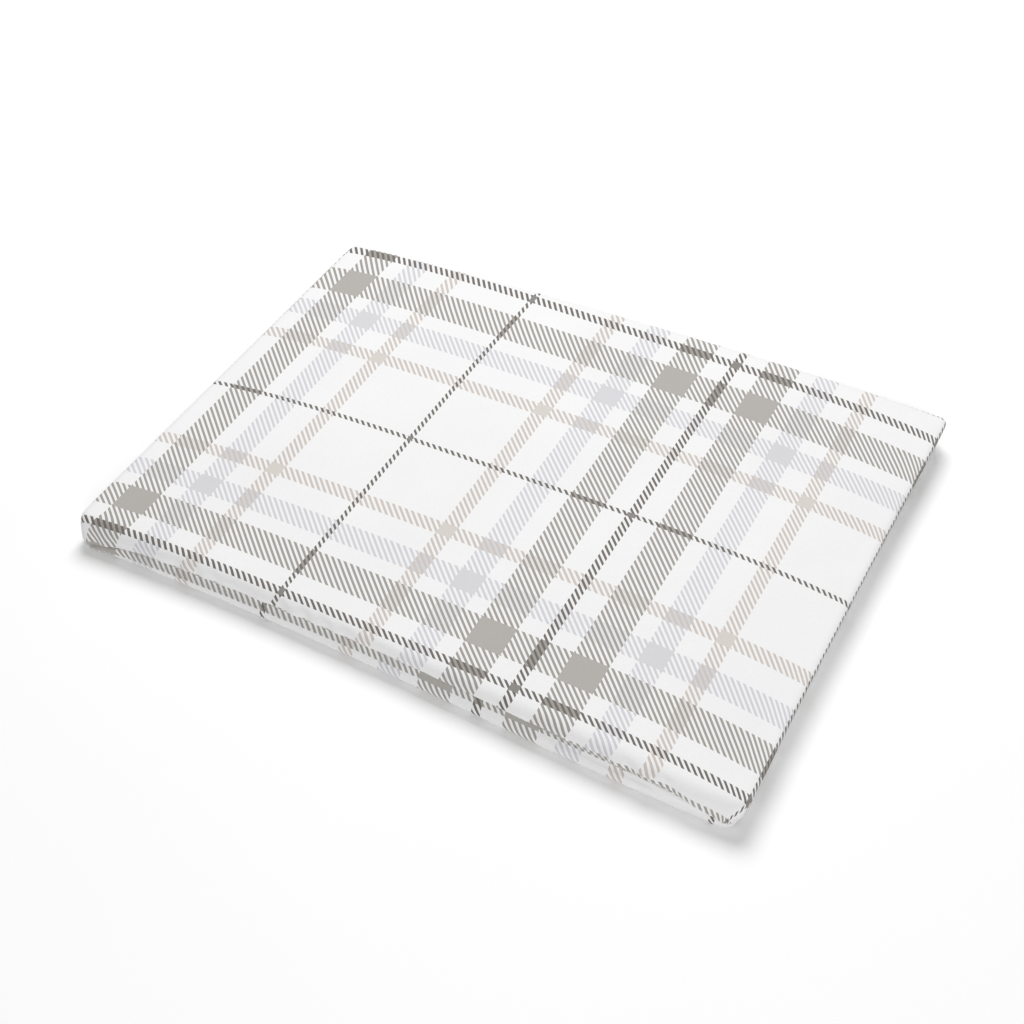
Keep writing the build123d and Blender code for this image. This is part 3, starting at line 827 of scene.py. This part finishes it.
turned_edge = 0.010
fold_step = 0.003
tape_margin = 0.017
for half, sign, cut in (("upper", 1, print_upper), ("lower", -1, print_lower)):
    points = settled.copy()
    flat = cover_form["flat"][half].copy()
    gate = cover_form["gate"]
    seam_points = cover_form["rings"][cover_form["seam_ring"]]
    for k, ring in enumerate(cover_form["rings"]):
        gap, ring_sign = cover_form["lines"][k][1:]
        if ring_sign == sign or k == cover_form["seam_ring"]:
            points[ring, 2] += sign * slot_half * gate * np.clip(1 - gap / slot_blend, 0, 1)
            points[ring, 0] -= gate * (seam_tuck - 0.0009) * np.exp(-((gap / seam_fade) ** 2))
    points[seam_points, 2] += sign * 0.00015
    # The turned edge: folded in at the seam and hanging down, or folded back at the zip
    behind_zip = (cover_form["out"][:, 0] < -0.999) * (
        abs(points[seam_points, 1]) < zip_end + tape_margin
    )
    hang_depth = 0.0046 if sign > 0 else 0.0030
    folds = (
        (hang_depth - 0.0008, 0.0, 0.0013, 0.0056),
        (hang_depth, -0.0012, 0.0019, 0.0070),
        (hang_depth, -turned_edge, 0.0019, 0.0150),
    )
    rings_added = [seam_points]
    extra = []
    flat_extra = []
    run = 0.0
    for depth, level, zip_depth, zip_level in folds:
        sewn = cover_form["path"](depth, level)
        at_zip = cover_form["path"](zip_depth, sign * zip_level)
        extra.append(np.where(behind_zip[:, None] > 0, at_zip, sewn))
        run += fold_step
        flat_extra.append(flat[seam_points] + cover_form["out"] * run)
    first = len(points)
    count = len(seam_points)
    points = np.concatenate([points, *extra])
    flat = np.concatenate([flat, *flat_extra])
    faces = list(cover_form["faces"][half])
    rings_added += [first + k * count + np.arange(count) for k in range(len(folds))]
    for above, below in zip(rings_added, rings_added[1:]):
        for quad in zip(above, below, np.roll(below, -1), np.roll(above, -1)):
            faces.append(tuple(int(p) for p in (quad if sign > 0 else reversed(quad))))
    panel_name = {"upper": "cover_top_panel", "lower": "cover_bottom_panel"}[half]
    cover_panel = mesh_piece(panel_name + "_cloth", points, faces, plaid, cut(*flat.T))
    smooth = cover_panel.modifiers.new("smooth", "SUBSURF")
    smooth.levels = smooth.render_levels = 1
    cloth_wall = cover_panel.modifiers.new("cloth", "SOLIDIFY")
    cloth_wall.thickness = cover_fabric
    cloth_wall.offset = -1
    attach(cover_panel, "bed")
    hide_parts(panel_name)


# Seam thread: the lockstitch row through both turned edges, just inside the wall, and the
# overlock loops over their raw ends. Both stop where the zip's tapes take over.
def sewn_path(form, depth, level):
    """The part of a line round the wall that the zip leaves free, from tape end to tape end."""
    path = form["path"](depth, level)
    free = (path[:, 0] > cover_low.x + 0.03) | (abs(path[:, 1]) > tape_end + 0.001)
    start = int(np.argmax(free & ~np.roll(free, 1)))
    turned = np.roll(path, -start, axis=0)
    return turned[: int(free.sum())]


tape_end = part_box("zipper_tape_upper")[1].y
lockstitch_depth = 0.0057
lockstitch_level = -0.002
seam_thread = copies_along(
    "cover_seam_lockstitches", sewn_path(cover_form, lockstitch_depth, lockstitch_level),
    *stitch, stitch_pitch, thread_finish,
)
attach(seam_thread, "bed")
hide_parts("cover_seam_stitching")

overlock_half = 0.0021
overlock_depth = 0.0038
overlock_pitch = 0.0028
overlock_loop = thread_tube(
    [
        (x, -overlock_half * math.cos(math.radians(a)), 0.0045 * math.sin(math.radians(a)) ** 0.5)
        for x, a in ((-0.0012, 8), (-0.0009, 60), (-0.0002, 120), (0.0003, 172))
    ] + [(0.0008, 0, -0.0003), (0.0016, -overlock_half, 0.0004)],
    0.00018, 5,
)
overlock = copies_along(
    "cover_seam_overlock_loops", sewn_path(cover_form, overlock_depth, -turned_edge - 0.0002),
    *overlock_loop, overlock_pitch, thread_finish,
)
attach(overlock, "bed")
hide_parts("cover_seam_overlock")


# Zip tapes: woven polyester ribbon, sewn flat behind the edges of the slot. They keep their
# CAD shape; the weave runs in fine ribs along the tape.
# Woven polyester tape: light grey, a little shiny, with ribs 0.7 mm apart and picks 0.5 mm apart.
tape_finish, tree = new_finish("woven_polyester_zip_tape")
place = node(tree, "ShaderNodeTexCoord")
ribs = node(tree, "ShaderNodeTexWave", {
    "Vector": place.outputs["Object"], "Scale": math.pi / 10 / 0.0007,
}, bands_direction="Z")
picks = node(tree, "ShaderNodeTexWave", {
    "Vector": place.outputs["Object"], "Scale": math.pi / 10 / 0.0005,
}, bands_direction="Y")
weave = node(tree, "ShaderNodeMath", {
    0: ribs.outputs["Fac"], 1: picks.outputs["Fac"],
}, operation="MULTIPLY")
shade = node(tree, "ShaderNodeMixRGB", {
    "Fac": weave.outputs[0], "Color1": linear("#d6d6d5"), "Color2": linear("#ebebea"),
})
ridge = node(tree, "ShaderNodeBump", {
    "Height": weave.outputs[0], "Strength": 0.6, "Distance": 0.0002,
})
surface = node(tree, "ShaderNodeBsdfPrincipled", {
    "Base Color": shade.outputs[0], "Roughness": 0.75, "Normal": ridge.outputs[0],
})
node(tree, "ShaderNodeOutputMaterial", {"Surface": surface.outputs[0]})
for side_name in ("upper", "lower"):
    cad["zipper_tape_" + side_name].data.materials.clear()
    cad["zipper_tape_" + side_name].data.materials.append(tape_finish)


# Zip coils: nylon monofilament wound into a flat spiral and sewn along each tape. Each turn
# is a rounded loop whose nose points at the other coil.
# Nylon monofilament: glossy, milky white, and a little see-through.
coil_finish, tree = new_finish("nylon_monofilament")
place = node(tree, "ShaderNodeTexCoord")
cloud = node(tree, "ShaderNodeTexNoise", {"Vector": place.outputs["Object"], "Scale": 900.0})
shade = node(tree, "ShaderNodeMixRGB", {
    "Fac": cloud.outputs[0], "Color1": linear("#dededc"), "Color2": linear("#efefee"),
})
surface = node(tree, "ShaderNodeBsdfPrincipled", {
    "Base Color": shade.outputs[0], "Roughness": 0.32, "IOR": 1.53, "Subsurface Weight": 0.1,
    "Subsurface Scale": 0.001,
})
node(tree, "ShaderNodeOutputMaterial", {"Surface": surface.outputs[0]})

coil_pitch = 0.0013
coil_wire = 0.00032
for side_name, sign in (("upper", 1), ("lower", -1)):
    coil_low, coil_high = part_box("zipper_coil_" + side_name)
    middle = (coil_low + coil_high) / 2
    reach = (coil_high.z - coil_low.z) / 2 - coil_wire
    depth = (coil_high.x - coil_low.x) / 2 - coil_wire
    turn = thread_tube(
        [
            (coil_pitch * (k / 8 - 0.5), -depth * math.cos(k * math.pi / 4),
             sign * reach * math.sin(k * math.pi / 4))
            for k in range(9)
        ],
        coil_wire, 5,
    )
    wound = [
        (middle.x, y, middle.z)
        for y in (coil_high.y - coil_pitch, coil_low.y + coil_pitch)
    ]
    coil = copies_along("zipper_coil_" + side_name + "_turns", wound, *turn, coil_pitch, coil_finish)
    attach(coil, "bed")
    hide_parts("zipper_coil_" + side_name)


# Zip stitching: one row of lockstitch above and one below the slot, through the cover and
# the tape, and a bar tack of close zigzag stitches across each end of the slot.
for side_name in ("upper", "lower"):
    row_low, row_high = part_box("zipper_topstitch_" + side_name)
    level = (row_low.z + row_high.z) / 2
    row = [(cover_low.x + 0.00005, y, level) for y in (row_high.y, row_low.y)]
    topstitch = copies_along(
        "zipper_topstitch_" + side_name + "_row", row, *stitch, stitch_pitch, thread_finish
    )
    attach(topstitch, "bed")
    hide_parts("zipper_topstitch_" + side_name)

bartack_width = 0.002
bartack_passes = 22
tack_points, tack_faces = [], []
for end_sign in (-1, 1):
    zigzag = []
    for k in range(bartack_passes + 1):
        level = bartack_low.z + (bartack_high.z - bartack_low.z) * k / bartack_passes
        y = end_sign * (zip_end - bartack_width * (0.06 + 0.88 * (k % 2)))
        zigzag.append((cover_low.x - 0.00035 - 0.0001 * (k % 2), y, level))
    points, faces = thread_tube(zigzag, 0.0003)
    tack_faces += [tuple(p + len(tack_points) for p in face_points) for face_points in faces]
    tack_points += points
bartacks = mesh_piece("zipper_bartack_zigzags", tack_points, tack_faces, thread_finish)
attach(bartacks, "bed")
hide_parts("zipper_bartacks")


# Zip slider and its pull: zinc die castings with a satin nickel plate. The pull hangs on
# its cross pin under the slider's bridge. Edges are tumbled smooth before plating.
# Satin nickel over zinc: a warm grey metal with the faint grain of the tumbled casting.
nickel, tree = new_finish("satin_nickel_plated_zinc")
place = node(tree, "ShaderNodeTexCoord")
grain = node(tree, "ShaderNodeTexNoise", {
    "Vector": place.outputs["Object"], "Scale": 1500.0, "Detail": 4.0,
})
rub = node(tree, "ShaderNodeMapRange", {"Value": grain.outputs[0], "To Min": 0.24, "To Max": 0.42})
shade = node(tree, "ShaderNodeMixRGB", {
    "Fac": grain.outputs[0], "Color1": linear("#b9b7b2"), "Color2": linear("#cfcdc8"),
})
peel = node(tree, "ShaderNodeBump", {
    "Height": grain.outputs[0], "Strength": 0.15, "Distance": 0.00005,
})
surface = node(tree, "ShaderNodeBsdfPrincipled", {
    "Base Color": shade.outputs[0], "Metallic": 1.0, "Roughness": rub.outputs[0],
    "Normal": peel.outputs[0],
})
node(tree, "ShaderNodeOutputMaterial", {"Surface": surface.outputs[0]})
for cad_name, body in (("zipper_slider", "slider"), ("zipper_pull", "pull")):
    casting = bpy.data.objects.new(cad_name + "_casting", cad[cad_name].data.copy())
    scene.collection.objects.link(casting)
    casting.data.materials.clear()
    casting.data.materials.append(nickel)
    form = bmesh.new()
    form.from_mesh(casting.data)
    bmesh.ops.remove_doubles(form, verts=form.verts, dist=0.00001)
    bmesh.ops.dissolve_limit(form, angle_limit=math.radians(2), verts=form.verts, edges=form.edges)
    form.to_mesh(casting.data)
    form.free()
    tumbled = casting.modifiers.new("tumbled_edges", "BEVEL")
    tumbled.width = 0.00012
    tumbled.segments = 2
    tumbled.limit_method = "ANGLE"
    tumbled.angle_limit = math.radians(35)
    casting.data.shade_smooth()
    even = casting.modifiers.new("even_faces", "WEIGHTED_NORMAL")
    even.keep_sharp = True
    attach(casting, body)
    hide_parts(cad_name)


# Care label: a blank satin ribbon, caught in the back seam by its root, hanging down the
# wall below it. It was cut hot, so its edges don't fray.
# Satin ribbon: white, with a soft sheen and warp threads 0.6 mm apart.
ribbon_finish, tree = new_finish("woven_satin_ribbon")
ribbon_map = node(tree, "ShaderNodeUVMap", uv_map="cloth")
warp = node(tree, "ShaderNodeTexWave", {
    "Vector": ribbon_map.outputs["UV"], "Scale": math.pi / 10 / 0.0006, "Distortion": 0.6,
}, bands_direction="Y")
shade = node(tree, "ShaderNodeMixRGB", {
    "Fac": warp.outputs["Fac"], "Color1": linear("#e9e9e8"), "Color2": linear("#f5f5f4"),
})
ridge = node(tree, "ShaderNodeBump", {
    "Height": warp.outputs["Fac"], "Strength": 0.2, "Distance": 0.0001,
})
surface = node(tree, "ShaderNodeBsdfPrincipled", {
    "Base Color": shade.outputs[0], "Roughness": 0.38, "Normal": ridge.outputs[0],
    "Sheen Weight": 0.25, "Anisotropic": 0.4,
})
node(tree, "ShaderNodeOutputMaterial", {"Surface": surface.outputs[0]})

label_low, label_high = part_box("care_label")
label_middle = (label_low.x + label_high.x) / 2
label_width = label_high.x - label_low.x
label_drop = label_high.z - label_low.z
label_root = 0.004
label_columns, label_rows = 20, 18
back_of_seam = bowed(np.array([label_middle]), np.array([half_width]), np.array([seam_height]))
back_line = float(back_of_seam[0, 1])
label_points, label_cloth = [], []
for row in range(label_rows + 1):
    run = (label_root + label_drop) * row / label_rows
    hang = max(0.0, run - label_root)
    for column in range(label_columns + 1):
        across = label_width * (column / label_columns - 0.5)
        curl = 0.0012 * (hang / label_drop) ** 2 * math.cos(2.2 * across / label_width * math.pi)
        stand = 0.0006 + 0.0008 * math.sin(min(1.0, hang / 0.006) * math.pi / 2) + curl
        inside = min(0.0, run - label_root)
        label_points.append((
            label_middle + across,
            back_line + (stand if hang else 0.0006) + inside,
            seam_height - hang * 0.985,
        ))
        label_cloth.append((across, run))
label_faces = [
    (k, k + label_columns + 1, k + label_columns + 2, k + 1)
    for row in range(label_rows)
    for k in range(row * (label_columns + 1), row * (label_columns + 1) + label_columns)
]
ribbon = mesh_piece("care_label_ribbon", label_points, label_faces, ribbon_finish, label_cloth)
ribbon_body = ribbon.modifiers.new("ribbon", "SOLIDIFY")
ribbon_body.thickness = 0.0003
ribbon_body.offset = 0
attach(ribbon, "bed")
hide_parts("care_label")
